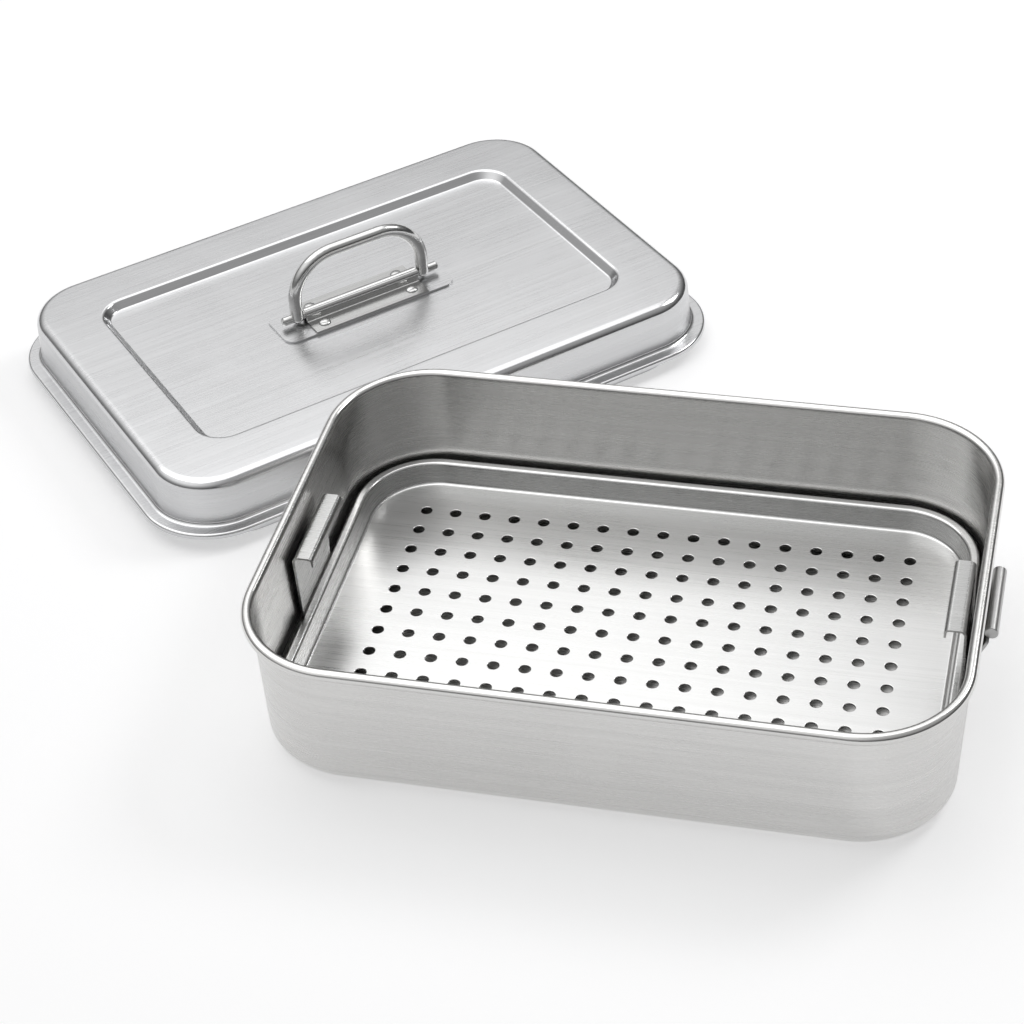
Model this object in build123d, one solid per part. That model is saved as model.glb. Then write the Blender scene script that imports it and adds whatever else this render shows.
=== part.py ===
from build123d import *
import os
from math import cos, radians, sin, tan

# Instrument tray: a deep-drawn pan with a rolled rim, a perforated insert that
# stands in it, and a lid with a fold-down bail handle, lying behind the pan.
# Millimetres. Origin: centre of the pan's underside. +X along the pan's long
# side, +Y towards the back, +Z up.

# Fits
seat_gap = 0.05
weld_seat = 0.02
rivet_clearance = 0.05
pivot_clearance = 0.08

# Pan
pan_length = 305.0
pan_width = 212.0
pan_height = 68.0
pan_corner_radius = 46.5
pan_sheet = 0.9
rim_bead_diameter = 5.0
rim_curl_gap = 0.7
wall_draft = 1.0
pan_bottom_bend = 9.0
pan_bottom_flat = 3.0

# Riveted grips on the pan's two ends
grip_bar_diameter = 5.8
grip_bar_length = 40.0
grip_bar_standoff = 6.6
grip_bar_height = 53.0
grip_plate_sheet = 1.2
grip_plate_width = 46.0
grip_plate_bottom = 18.0
grip_plate_bend_height = 40.0
grip_plate_bend = 4.0
grip_plate_corner = 5.0
grip_rivet_spacing = 26.0
grip_rivet_height = 29.0
grip_rivet_diameter = 3.0
grip_rivet_head = 6.0
grip_rivet_head_height = 1.3
grip_rivet_tail = 5.4
grip_rivet_tail_height = 0.6

# Perforated insert
insert_side_gap = 2.7
insert_sheet = 0.9
insert_corner_radius = 36.0
insert_rim_height = 21.0
insert_plate_height = 10.0
insert_hem_depth = 8.5
insert_rim_width = 4.2
insert_wall_run = 1.8
insert_rim_bend = 1.3
insert_plate_bend = 2.2
insert_border = 6.5
hole_pitch = 14.1
hole_diameter = 5.2
hole_border_x = 25.0
hole_border_y = 20.5

# Drawn cup feet under the insert
foot_sheet = 0.8
foot_diameter = 10.0
foot_flange_diameter = 15.0
foot_inset_x = 22.0
foot_inset_y = 18.0

# Lifting lugs on the insert's ends
lug_sheet = 1.0
lug_width = 45.0
lug_foot_width = 41.0
lug_height = 54.5
lug_foot_clear = 0.5
lug_lip_reach = 8.4
lug_lip_drop = 4.2
lug_bend = 2.4
lug_rivet_spacing = 20.0
lug_rivet_diameter = 2.4
lug_rivet_head = 4.4
lug_rivet_head_height = 0.5

# Lid
lid_end_overhang = 3.0
lid_side_overhang = 1.0
lid_corner_radius = 38.0
lid_sheet = 0.9
lid_edge_turn = 2.2
lid_flange_width = 7.6
lid_wall_draft_run = 1.2
lid_rise = 24.3
lid_edge_bend = 0.9
lid_cove = 2.6
lid_shoulder = 4.8
lid_top_flat = 6.0
recess_length = 236.0
recess_width = 138.0
recess_corner = 10.0
recess_depth = 4.0
recess_slope_run = 3.4
recess_bend = 1.8
recess_border = 5.0

# Ring under the lid's flange that drops inside the pan's rim
ring_sheet = 0.8
ring_depth = 8.0
ring_side_clearance = 1.0
ring_flange = 6.0
ring_bend = 1.2

# Where the lid lies: turned, in degrees, with its long side near the pan's corner
lid_turn = 44.0
lid_gap = 3.3
lid_shift = 46.6

# Lid handle
handle_base_length = 96.0
handle_base_depth = 28.0
handle_base_sheet = 1.0
handle_base_corner = 6.0
bail_bar_diameter = 6.6
bail_span = 72.0
bail_height = 31.5
bail_corner = 23.0
bail_floor_clearance = 0.5
pivot_diameter = 4.4
pivot_stub = 5.2
pivot_chamfer = 0.8
clip_sheet = 0.9
clip_end_clearance = 0.7
clip_bend = 1.1
handle_rivet_spacing = 50.0
handle_rivet_diameter = 3.0
handle_rivet_head = 6.4
handle_rivet_head_height = 1.4
handle_rivet_tail_height = 0.9

# Lines that follow from the sizes above
bead_radius = rim_bead_diameter / 2
rim_line_length = pan_length - rim_bead_diameter
rim_line_width = pan_width - rim_bead_diameter
rim_line_corner = pan_corner_radius - bead_radius
bead_height = pan_height - bead_radius
draft_slope = tan(radians(wall_draft))
wall_top_offset = -(bead_radius - pan_sheet / 2)


def wall_offset(height):
    """Middle of the pan's wall at a height, outwards from the rim's centre line."""
    return wall_top_offset - (bead_height - height) * draft_slope


# Sheet-metal sections and the rings that they are drawn into

def parallel_points(points, distance):
    """The corners of a line that runs beside another one, on its left."""
    normals = []
    for start, end in zip(points, points[1:]):
        along = (Vector(*end) - Vector(*start)).normalized()
        normals.append(Vector(-along.Y, along.X))
    shifted = [Vector(*points[0]) + normals[0] * distance]
    for corner, before, after in zip(points[1:], normals, normals[1:]):
        mitre = (before + after) * (distance / (1 + before.dot(after)))
        shifted.append(Vector(*corner) + mitre)
    shifted.append(Vector(*points[-1]) + normals[-1] * distance)
    return shifted


def bend_radii(points, radii, distance):
    """The bends of that parallel line: tighter on the inside of each turn."""
    result = []
    for before, corner, after, radius in zip(points, points[1:], points[2:], radii):
        first = Vector(*corner) - Vector(*before)
        second = Vector(*after) - Vector(*corner)
        turns_left = first.X * second.Y - first.Y * second.X > 0
        result.append(radius - distance if turns_left else radius + distance)
    return result


def sheet_section(points, radii, sheet):
    """A bent sheet's cross-section, from the corners and bends of its middle."""
    sides = []
    for distance in (sheet / 2, -sheet / 2):
        corners = parallel_points(points, distance)
        if radii:
            sides.append(FilletPolyline(*corners, radius=bend_radii(points, radii, distance)))
        else:
            sides.append(Polyline(*corners))
    left, right = sides
    ends = [Line(left @ 0, right @ 0), Line(left @ 1, right @ 1)]
    return make_face(Curve() + [left, right] + ends)


def drawn_ring(section, length, width, corner):
    """A section carried round a rounded rectangle, its X measured outwards."""
    upright = Plane.XZ * section
    runs = (width - 2 * corner, length - 2 * corner)
    reach = (length / 2, width / 2)
    bend = revolve(Pos(corner, 0, 0) * upright, Axis.Z, revolution_arc=90)
    pieces = []
    for quarter in range(4):
        turn = Rot(0, 0, 90 * quarter)
        side = extrude(upright, amount=runs[quarter % 2] / 2, both=True)
        pieces.append(turn * Pos(reach[quarter % 2], 0, 0) * side)
        ahead = runs[quarter % 2] / 2
        outward = reach[quarter % 2] - corner
        pieces.append(turn * Pos(outward, ahead, 0) * bend)
    return pieces[0].fuse(*pieces[1:])


def flat_panel(length, width, corner, bottom, sheet):
    """A flat sheet with round corners, its underside at a height."""
    return Pos(0, 0, bottom) * extrude(RectangleRounded(length, width, corner), sheet)


def one_part(solid):
    """The single solid of a finished sheet part."""
    return solid.solids()[0] if len(solid.solids()) == 1 else solid


def rivet(diameter, grip, head, head_height, tail, tail_height):
    """A set rivet along +Z: domed head above Z = grip, flat tail below Z = 0."""
    outline = Polyline(
        (0, -tail_height),
        (tail / 2, -tail_height),
        (tail / 2, 0),
        (diameter / 2, 0),
        (diameter / 2, grip),
        (head / 2, grip),
    )
    dome = TangentArc((0, grip + head_height), (head / 2, grip), tangent=(1, 0))
    axis = Line((0, grip + head_height), (0, -tail_height))
    return revolve(Plane.XZ * make_face(Curve() + [outline, dome, axis]), Axis.Z)


# The pan

def wall_frame(height):
    """A frame on the right end wall's outer face: X outwards, Z up the wall."""
    outer = rim_line_length / 2 + wall_offset(height) + pan_sheet / 2 / cos(radians(wall_draft))
    return Pos(outer, 0, height) * Rot(0, wall_draft, 0)


def grip_rivet_holes():
    """Cutters for the rivets of both grips, through wall and plate."""
    drill = Rot(0, 90, 0) * Cylinder(grip_rivet_diameter / 2 + rivet_clearance, 4 * pan_sheet + 2)
    cutters = []
    for end in (0, 180):
        for side in (-1, 1):
            spot = Pos(0, side * grip_rivet_spacing / 2, 0)
            cutters.append(Rot(0, 0, end) * wall_frame(grip_rivet_height) * spot * drill)
    return cutters


def rim_section():
    """The curled rim: a tube of sheet with an open slit beside the wall."""
    tube = Circle(bead_radius) - Circle(bead_radius - pan_sheet)
    slit = Rectangle(
        bead_radius - pan_sheet, rim_curl_gap, align=(Align.MIN, Align.MAX)
    )
    return tube - Pos(-bead_radius + pan_sheet, -bead_radius / 2, 0) * slit


def tray_pan():
    """The drawn pan: bottom, bend, drafted wall and curled rim in one sheet."""
    low = pan_sheet / 2
    foot = wall_offset(low)
    inner = foot - pan_bottom_bend - pan_bottom_flat
    wall = sheet_section(
        [(inner, low), (foot, low), (wall_top_offset, bead_height)], [pan_bottom_bend], pan_sheet
    )
    section = wall + Pos(0, bead_height, 0) * rim_section()
    shell = drawn_ring(section, rim_line_length, rim_line_width, rim_line_corner)
    bottom = flat_panel(
        rim_line_length + 2 * inner, rim_line_width + 2 * inner, rim_line_corner + inner, 0, pan_sheet
    )
    return one_part(shell.fuse(bottom).cut(*grip_rivet_holes()))


def grip_bar_place():
    """The grip bar's centre in the wall frame of the rivets' height."""
    return grip_bar_standoff, grip_bar_height - grip_rivet_height


def grip_bar():
    """The solid round bar that the fingers hold."""
    outward, up = grip_bar_place()
    bar = Rot(90, 0, 0) * Cylinder(grip_bar_diameter / 2, grip_bar_length)
    bar = chamfer(bar.edges().filter_by(GeomType.CIRCLE), grip_bar_diameter / 20)
    return wall_frame(grip_rivet_height) * Pos(outward, 0, up) * bar


def grip_plate():
    """The plate behind it: flat on the wall, then bent out to carry the bar."""
    outward, up = grip_bar_place()
    middle = seat_gap + grip_plate_sheet / 2
    bottom = grip_plate_bottom - grip_rivet_height
    bend = grip_plate_bend_height - grip_rivet_height
    section = sheet_section(
        [(middle, bottom), (middle, bend), (outward, up)], [grip_plate_bend], grip_plate_sheet
    )
    plate = extrude(Plane.XZ * section, amount=grip_plate_width / 2, both=True)
    outline = Pos(0, 0, (bottom + up) / 2) * Rot(0, 90, 0) * extrude(
        RectangleRounded(up - bottom, grip_plate_width, grip_plate_corner),
        amount=2 * grip_bar_standoff,
        both=True,
    )
    cradle = Pos(outward, 0, up) * Rot(90, 0, 0) * Cylinder(
        grip_bar_diameter / 2 + weld_seat, 2 * grip_plate_width
    )
    above = Pos(0, 0, up - grip_bar_diameter / 4) * Box(
        4 * grip_bar_standoff, 2 * grip_plate_width, grip_bar_diameter,
        align=(Align.CENTER, Align.CENTER, Align.MIN),
    )
    plate = (plate & outline) - cradle - above
    return (wall_frame(grip_rivet_height) * plate).cut(*grip_rivet_holes())


def grip_rivets():
    """The two rivets of one grip, heads outside, flat tails inside the pan."""
    grip = pan_sheet + grip_plate_sheet + 3 * seat_gap
    one = rivet(
        grip_rivet_diameter, grip, grip_rivet_head, grip_rivet_head_height,
        grip_rivet_tail, grip_rivet_tail_height,
    )
    start = -pan_sheet - seat_gap
    outwards = wall_frame(grip_rivet_height) * Pos(start, 0, 0) * Rot(0, 90, 0)
    return [outwards * Pos(0, side * grip_rivet_spacing / 2, 0) * one for side in (-1, 1)]


# The perforated insert

insert_length = rim_line_length + 2 * wall_offset(insert_rim_height) - pan_sheet - 2 * insert_side_gap
insert_width = rim_line_width + 2 * wall_offset(insert_rim_height) - pan_sheet - 2 * insert_side_gap
insert_wall_foot = -insert_rim_width - insert_wall_run
insert_plate_offset = insert_wall_foot - insert_border
hole_columns = int((insert_length + 2 * insert_wall_foot - 2 * hole_border_x) / hole_pitch) + 1
hole_rows = int((insert_width + 2 * insert_wall_foot - 2 * hole_border_y) / hole_pitch) + 1
lug_rivet_height = insert_rim_height - insert_hem_depth / 2


def lug_rivet_holes():
    """Cutters for the rivets of both lifting lugs, through hem and lug."""
    drill = Rot(0, 90, 0) * Cylinder(lug_rivet_diameter / 2 + rivet_clearance, 4 * insert_sheet)
    cutters = []
    for end in (0, 180):
        for side in (-1, 1):
            spot = Pos(insert_length / 2, side * lug_rivet_spacing / 2, lug_rivet_height)
            cutters.append(Rot(0, 0, end) * spot * drill)
    return cutters


def perforated_insert():
    """Hem, rim, short wall and perforated plate, all one pressed sheet."""
    top = insert_rim_height - insert_sheet / 2
    low = insert_plate_height - insert_sheet / 2
    hem = -insert_sheet / 2
    section = sheet_section(
        [
            (hem, insert_rim_height - insert_hem_depth),
            (hem, top),
            (-insert_rim_width, top),
            (insert_wall_foot, low),
            (insert_plate_offset, low),
        ],
        [insert_rim_bend, insert_rim_bend, insert_plate_bend],
        insert_sheet,
    )
    border = drawn_ring(section, insert_length, insert_width, insert_corner_radius)
    plate = RectangleRounded(
        insert_length + 2 * insert_plate_offset,
        insert_width + 2 * insert_plate_offset,
        insert_corner_radius + insert_plate_offset,
    )
    holes = GridLocations(hole_pitch, hole_pitch, hole_columns, hole_rows) * Circle(hole_diameter / 2)
    sheet = Pos(0, 0, insert_plate_height - insert_sheet) * extrude(plate - holes, insert_sheet)
    return one_part(border.fuse(sheet).cut(*lug_rivet_holes()))


def insert_feet():
    """Four drawn cups, flange up, spot-welded under the plate's corners."""
    top = insert_plate_height - insert_sheet - weld_seat - foot_sheet / 2
    low = pan_sheet + seat_gap + foot_sheet / 2
    wall = foot_diameter / 2 - foot_sheet / 2
    section = sheet_section(
        [(0, low), (wall, low), (wall, top), (foot_flange_diameter / 2, top)], [], foot_sheet
    )
    cup = revolve(Plane.XZ * section, Axis.Z, revolution_arc=360)
    reach_x = insert_length / 2 - foot_inset_x
    reach_y = insert_width / 2 - foot_inset_y
    return [Pos(x, y, 0) * cup for x in (-reach_x, reach_x) for y in (-reach_y, reach_y)]


def lifting_lug():
    """The right-hand lug: riveted to the hem, with a lip for the fingers."""
    middle = insert_length / 2 + seat_gap + lug_sheet / 2
    foot = insert_rim_height - insert_hem_depth + lug_foot_clear
    top = lug_height - lug_sheet / 2
    section = sheet_section(
        [
            (middle, foot),
            (middle, top),
            (middle - lug_lip_reach, top),
            (middle - lug_lip_reach, top - lug_lip_drop),
        ],
        [lug_bend, lug_bend * 0.75],
        lug_sheet,
    )
    strip = extrude(Plane.XZ * section, amount=lug_width / 2, both=True)
    outline = Polyline(
        (-lug_foot_width / 2, foot),
        (lug_foot_width / 2, foot),
        (lug_width / 2, lug_height),
        (-lug_width / 2, lug_height),
        close=True,
    )
    tapered = extrude(Plane.YZ * make_face(outline), amount=insert_length)
    return (strip & tapered).cut(*lug_rivet_holes())


def lug_rivets():
    """The two rivets of the right-hand lug."""
    grip = insert_sheet + lug_sheet + 3 * seat_gap
    one = rivet(
        lug_rivet_diameter, grip, lug_rivet_head, lug_rivet_head_height,
        lug_rivet_head, lug_rivet_head_height,
    )
    start = insert_length / 2 - insert_sheet - seat_gap
    outwards = Pos(start, 0, lug_rivet_height) * Rot(0, 90, 0)
    return [outwards * Pos(0, side * lug_rivet_spacing / 2, 0) * one for side in (-1, 1)]


# The lid, built about its own centre and then laid behind the pan

lid_length = pan_length + 2 * lid_end_overhang
lid_width = pan_width + 2 * lid_side_overhang
flange_underside = ring_depth + ring_sheet + weld_seat
lid_top = flange_underside + lid_sheet + lid_rise
recess_floor = lid_top - recess_depth
base_top = recess_floor + seat_gap + handle_base_sheet
pivot_height = base_top + bail_bar_diameter / 2 + bail_floor_clearance
pan_corner = Pos(pan_corner_radius - pan_length / 2, pan_width / 2 - pan_corner_radius, 0)
lid_offset = Pos(lid_shift, pan_corner_radius + lid_gap + lid_width / 2, 0)
lid_at_rest = pan_corner * Rot(0, 0, lid_turn) * lid_offset


def lid_shell():
    """Turned edge, flange, cove, wall, shoulder and sunk panel in one sheet."""
    flange = flange_underside + lid_sheet / 2
    top = lid_top - lid_sheet / 2
    edge = -lid_sheet / 2
    wall_top = -lid_flange_width - lid_wall_draft_run
    inner = wall_top - lid_shoulder - lid_top_flat
    skirt = sheet_section(
        [
            (edge, flange - lid_edge_turn),
            (edge, flange),
            (-lid_flange_width, flange),
            (wall_top, top),
            (inner, top),
        ],
        [lid_edge_bend, lid_cove, lid_shoulder],
        lid_sheet,
    )
    outside = drawn_ring(skirt, lid_length, lid_width, lid_corner_radius)
    floor = top - recess_depth
    slope = sheet_section(
        [
            (recess_border, top),
            (0, top),
            (-recess_slope_run, floor),
            (-recess_slope_run - recess_border, floor),
        ],
        [recess_bend, recess_bend],
        lid_sheet,
    )
    sunk_corner = recess_corner + recess_border
    recess = drawn_ring(slope, recess_length, recess_width, sunk_corner)
    shelf = RectangleRounded(lid_length + 2 * inner, lid_width + 2 * inner, lid_corner_radius + inner)
    shelf -= RectangleRounded(
        recess_length + 2 * recess_border, recess_width + 2 * recess_border, sunk_corner + recess_border
    )
    shelf = Pos(0, 0, lid_top - lid_sheet) * extrude(shelf, lid_sheet)
    inset = recess_slope_run + recess_border
    panel = flat_panel(
        recess_length - 2 * inset, recess_width - 2 * inset, sunk_corner - inset,
        recess_floor - lid_sheet, lid_sheet,
    )
    return one_part(outside.fuse(shelf, recess, panel).cut(*handle_rivet_holes()))


def locating_ring():
    """The angle ring spot-welded under the flange, which centres the lid."""
    half = rim_line_length / 2 - bead_radius - ring_side_clearance
    depth = rim_line_width / 2 - bead_radius - ring_side_clearance
    corner = rim_line_corner - bead_radius - ring_side_clearance
    top = ring_depth + ring_sheet / 2
    leg = -ring_sheet / 2
    section = sheet_section(
        [(leg, 0), (leg, top), (leg + ring_flange, top)], [ring_bend], ring_sheet
    )
    return one_part(drawn_ring(section, 2 * half, 2 * depth, corner))


def handle_rivet_spots():
    """The four rivet centres of the lid's handle, from the lid's centre."""
    reach = (clip_foot_edge() + clip_wall()) / 2
    return [
        (x, y)
        for x in (-handle_rivet_spacing / 2, handle_rivet_spacing / 2)
        for y in (-reach, reach)
    ]


def handle_rivet_holes():
    """Cutters for those rivets, through lid, base plate and clip."""
    drill = Cylinder(handle_rivet_diameter / 2 + rivet_clearance, 8 * lid_sheet)
    return [Pos(x, y, recess_floor) * drill for x, y in handle_rivet_spots()]


def clip_wall():
    """Middle of the clip's side walls, from the pivot's axis."""
    return pivot_diameter / 2 + pivot_clearance + clip_sheet / 2


def clip_foot_edge():
    """Outer edge of the clip's two feet, from the pivot's axis."""
    return handle_base_depth / 2


def handle_base():
    """The thin plate under the clip, with round corners."""
    plate = flat_panel(
        handle_base_length, handle_base_depth, handle_base_corner,
        recess_floor + seat_gap, handle_base_sheet,
    )
    return plate.cut(*handle_rivet_holes())


def handle_clip():
    """The strap over the pivot: half round on top, with a foot on each side."""
    wall = clip_wall()
    foot = base_top + seat_gap + clip_sheet / 2
    roof = pivot_height + wall
    section = sheet_section(
        [
            (-clip_foot_edge(), foot),
            (-wall, foot),
            (-wall, roof),
            (wall, roof),
            (wall, foot),
            (clip_foot_edge(), foot),
        ],
        [clip_bend, wall - weld_seat, wall - weld_seat, clip_bend],
        clip_sheet,
    )
    length = bail_span - bail_bar_diameter - 2 * clip_end_clearance
    strap = extrude(Plane.YZ * section, amount=length / 2, both=True)
    return strap.cut(*handle_rivet_holes())


def handle_rivets():
    """Four rivets with domed heads on the clip and flat tails under the lid."""
    grip = lid_sheet + handle_base_sheet + clip_sheet + 4 * seat_gap
    one = rivet(
        handle_rivet_diameter, grip, handle_rivet_head, handle_rivet_head_height,
        handle_rivet_head, handle_rivet_tail_height,
    )
    start = recess_floor - lid_sheet - seat_gap
    return [Pos(x, y, start) * one for x, y in handle_rivet_spots()]


def lid_bail():
    """The round bar bent to a flat arch, its ball ends drilled for the pivot."""
    foot = bail_span / 2
    path = FilletPolyline(
        (-foot, 0, pivot_height),
        (-foot, 0, pivot_height + bail_height),
        (foot, 0, pivot_height + bail_height),
        (foot, 0, pivot_height),
        radius=bail_corner,
    )
    start = Plane(path @ 0, z_dir=path % 0)
    bar = sweep(start * Circle(bail_bar_diameter / 2), path=path)
    ends = [Pos(x, 0, pivot_height) * Sphere(bail_bar_diameter / 2) for x in (-foot, foot)]
    bore = Pos(0, 0, pivot_height) * Rot(0, 90, 0) * Cylinder(
        pivot_diameter / 2 + rivet_clearance, 2 * bail_span
    )
    return bar.fuse(*ends).cut(bore)


def bail_pivot():
    """The rod through clip and bail, with short chamfered stubs outside."""
    length = bail_span + bail_bar_diameter + 2 * pivot_stub
    rod = Rot(0, 90, 0) * Cylinder(pivot_diameter / 2, length)
    rod = chamfer(rod.edges().filter_by(GeomType.CIRCLE), pivot_chamfer)
    return Pos(0, 0, pivot_height) * rod


def other_end(shape):
    """The same piece on the left end."""
    return Rot(0, 0, 180) * shape


def save(name, *pieces):
    """Write one sub-part's solids to its own file."""
    solids = [solid for piece in pieces for solid in piece.solids()]
    shape = solids[0] if len(solids) == 1 else Compound(children=solids)
    export_step(shape, f"parts/{name}.step")


os.makedirs("parts", exist_ok=True)

save("tray_pan", tray_pan())
bar = grip_bar()
plate = grip_plate()
save("right_grip_bar", bar)
save("left_grip_bar", other_end(bar))
save("right_grip_plate", plate)
save("left_grip_plate", other_end(plate))
end_rivets = grip_rivets()
save("right_grip_rivets", *end_rivets)
save("left_grip_rivets", *[other_end(piece) for piece in end_rivets])

save("perforated_insert", perforated_insert())
save("insert_feet", *insert_feet())
lug = lifting_lug()
save("right_lifting_lug", lug)
save("left_lifting_lug", other_end(lug))
hem_rivets = lug_rivets()
save("right_lug_rivets", *hem_rivets)
save("left_lug_rivets", *[other_end(piece) for piece in hem_rivets])

save("lid_shell", lid_at_rest * lid_shell())
save("lid_locating_ring", lid_at_rest * locating_ring())
save("lid_handle_base", lid_at_rest * handle_base())
save("lid_handle_clip", lid_at_rest * handle_clip())
save("lid_handle_rivets", *[lid_at_rest * piece for piece in handle_rivets()])
save("lid_bail", lid_at_rest * lid_bail())
save("bail_pivot", lid_at_rest * bail_pivot())
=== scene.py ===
from math import acos, cos, pi, radians, sin, tan

import bmesh
import bpy
from mathutils import Matrix, Vector


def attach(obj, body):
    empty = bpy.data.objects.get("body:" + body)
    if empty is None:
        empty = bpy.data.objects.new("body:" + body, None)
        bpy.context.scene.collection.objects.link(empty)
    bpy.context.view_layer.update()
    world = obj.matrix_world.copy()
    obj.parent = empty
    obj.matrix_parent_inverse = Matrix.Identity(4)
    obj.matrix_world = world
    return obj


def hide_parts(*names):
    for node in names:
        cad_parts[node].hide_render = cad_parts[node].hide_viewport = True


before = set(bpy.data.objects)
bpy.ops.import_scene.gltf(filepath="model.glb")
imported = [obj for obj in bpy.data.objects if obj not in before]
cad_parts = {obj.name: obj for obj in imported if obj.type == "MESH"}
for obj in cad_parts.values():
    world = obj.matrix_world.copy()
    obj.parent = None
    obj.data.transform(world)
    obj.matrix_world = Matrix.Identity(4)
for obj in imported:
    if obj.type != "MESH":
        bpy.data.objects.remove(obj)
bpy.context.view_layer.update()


# ---- Tray pan
# One deep-drawn stainless sheet: flat bottom, large bottom bend, slightly
# drafted walls, and a rim that is curled outwards into a bead. The outside is
# brushed along the walls, and the bead is smoother and carries a painted highlight.

# Sizes are in millimetres, and MM turns them into the scene's metres.
MM = 0.001
CORNER_STEPS = 28

PAN_LENGTH = 305.0
PAN_WIDTH = 212.0
PAN_HEIGHT = 68.0
PAN_CORNER = 46.5
PAN_SHEET = 0.9
RIM_BEAD = 5.0
CURL_SWEEP = radians(320.0)
CURL_STEPS = 26
DRAFT = tan(radians(1.0))
BOTTOM_BEND = 9.0
BOTTOM_FLAT = 3.0


def bent_line(points, bends, steps):
    """Middle line of a bent sheet: corner points made into arcs, with normals."""
    line = []
    flat = [Vector(point) for point in points]

    def add(point, along):
        """A point of the line, with the normal of the sheet there."""
        line.append((point.x, point.y, -along.y, along.x))

    def turned(vector, angle):
        """A flat vector turned by an angle."""
        return Vector((
            vector.x * cos(angle) - vector.y * sin(angle),
            vector.x * sin(angle) + vector.y * cos(angle),
        ))

    add(flat[0], (flat[1] - flat[0]).normalized())
    for before, corner, after, radius in zip(flat, flat[1:], flat[2:], bends):
        first = (corner - before).normalized()
        second = (after - corner).normalized()
        turn = acos(max(-1.0, min(1.0, first.dot(second))))
        side = 1.0 if first.x * second.y - first.y * second.x > 0 else -1.0
        start = corner - first * radius * tan(turn / 2)
        centre = start + Vector((-first.y, first.x)) * radius * side
        for step in range(steps + 1):
            angle = side * turn * step / steps
            add(centre + turned(start - centre, angle), turned(first, angle))
    add(flat[-1], (flat[-1] - flat[-2]).normalized())
    return line


def sheet_faces(line, sheet, outline):
    """The two faces of a bent sheet, as contours (half x, half y, corner, z)."""
    half_x, half_y, corner = outline
    sides = []
    for offset in (sheet / 2, -sheet / 2):
        side = []
        for x, z, normal_x, normal_z in line:
            out = x + normal_x * offset
            side.append((half_x + out, half_y + out, corner + out, z + normal_z * offset))
        sides.append(side)
    return sides


def contour_points(half_x, half_y, corner, z):
    """One rounded rectangle at a height, as points in millimetres."""
    points = []
    for quarter in range(4):
        sign_x = (1, -1, -1, 1)[quarter]
        sign_y = (1, 1, -1, -1)[quarter]
        for step in range(CORNER_STEPS + 1):
            angle = pi / 2 * (quarter + step / CORNER_STEPS)
            points.append(Vector((
                sign_x * (half_x - corner) + corner * cos(angle),
                sign_y * (half_y - corner) + corner * sin(angle),
                z,
            )))
    return points


def skin(mesh, contours, place=Matrix.Identity(4)):
    """Faces over a stack of contours; gives back its first and last ring."""
    rings = []
    for contour in contours:
        points = contour_points(*contour)
        rings.append([mesh.verts.new(place @ point * MM) for point in points])
    for low, high in zip(rings, rings[1:]):
        for index in range(len(low)):
            after = (index + 1) % len(low)
            mesh.faces.new((low[index], low[after], high[after], high[index]))
    return rings[0], rings[-1]


def drawn_sheet(name, contours, place=Matrix.Identity(4)):
    """A drawn piece: the skin over its contours, closed by two flat faces."""
    mesh = bmesh.new()
    first, last = skin(mesh, contours, place)
    mesh.faces.new(list(reversed(first)))
    mesh.faces.new(last)
    return finish_piece(name, mesh)


def as_object(name, mesh):
    """An object of the scene from built faces."""
    data = bpy.data.meshes.new(name)
    mesh.to_mesh(data)
    mesh.free()
    item = bpy.data.objects.new(name, data)
    bpy.context.scene.collection.objects.link(item)
    return item


def finish_piece(name, mesh, sharp_angle=40, merge=True):
    """Turn built faces into a clean object: merged, facing out, smooth bends."""
    if merge:
        bmesh.ops.remove_doubles(mesh, verts=mesh.verts, dist=0.002 * MM)
        bmesh.ops.recalc_face_normals(mesh, faces=mesh.faces)
        if mesh.calc_volume(signed=True) < 0:
            bmesh.ops.reverse_faces(mesh, faces=mesh.faces)
    for face in mesh.faces:
        face.smooth = True
    for edge in mesh.edges:
        if len(edge.link_faces) == 2 and edge.calc_face_angle(0.0) > radians(sharp_angle):
            edge.smooth = False
    rough = as_object(name, mesh)
    # Large faces lead the normals, so that flat sheet stays flat beside a bend.
    evened = rough.modifiers.new("even normals", "WEIGHTED_NORMAL")
    evened.keep_sharp = True
    evened.weight = 90
    bpy.context.view_layer.update()
    graph = bpy.context.evaluated_depsgraph_get()
    finished = bpy.data.meshes.new_from_object(rough.evaluated_get(graph))
    finished.name = name
    bpy.data.objects.remove(rough)
    piece = bpy.data.objects.new(name, finished)
    bpy.context.scene.collection.objects.link(piece)
    return piece


def link(tree, source, target):
    """Join two sockets of a node tree."""
    tree.links.new(source, target)


def new_node(tree, kind, **settings):
    """A node with its settings and the values of its named inputs."""
    node = tree.nodes.new(kind)
    for key, value in settings.items():
        if key == "inputs":
            for socket, number in value.items():
                node.inputs[socket].default_value = number
        else:
            setattr(node, key, value)
    return node


def add_sockets(tree, direction, **kinds):
    """Named inputs or outputs of a node tree."""
    for name, kind in kinds.items():
        tree.interface.new_socket(
            name=name, in_out=direction, socket_type=f"NodeSocket{kind}"
        )


def lying_share(group, facing):
    """How flat a face lies: 0 on an upright wall, 1 on a level plate."""
    parts = new_node(group, "ShaderNodeSeparateXYZ")
    link(group, facing, parts.inputs[0])
    share = new_node(group, "ShaderNodeMath", operation="ABSOLUTE")
    link(group, parts.outputs["Z"], share.inputs[0])
    return share.outputs[0]


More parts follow.
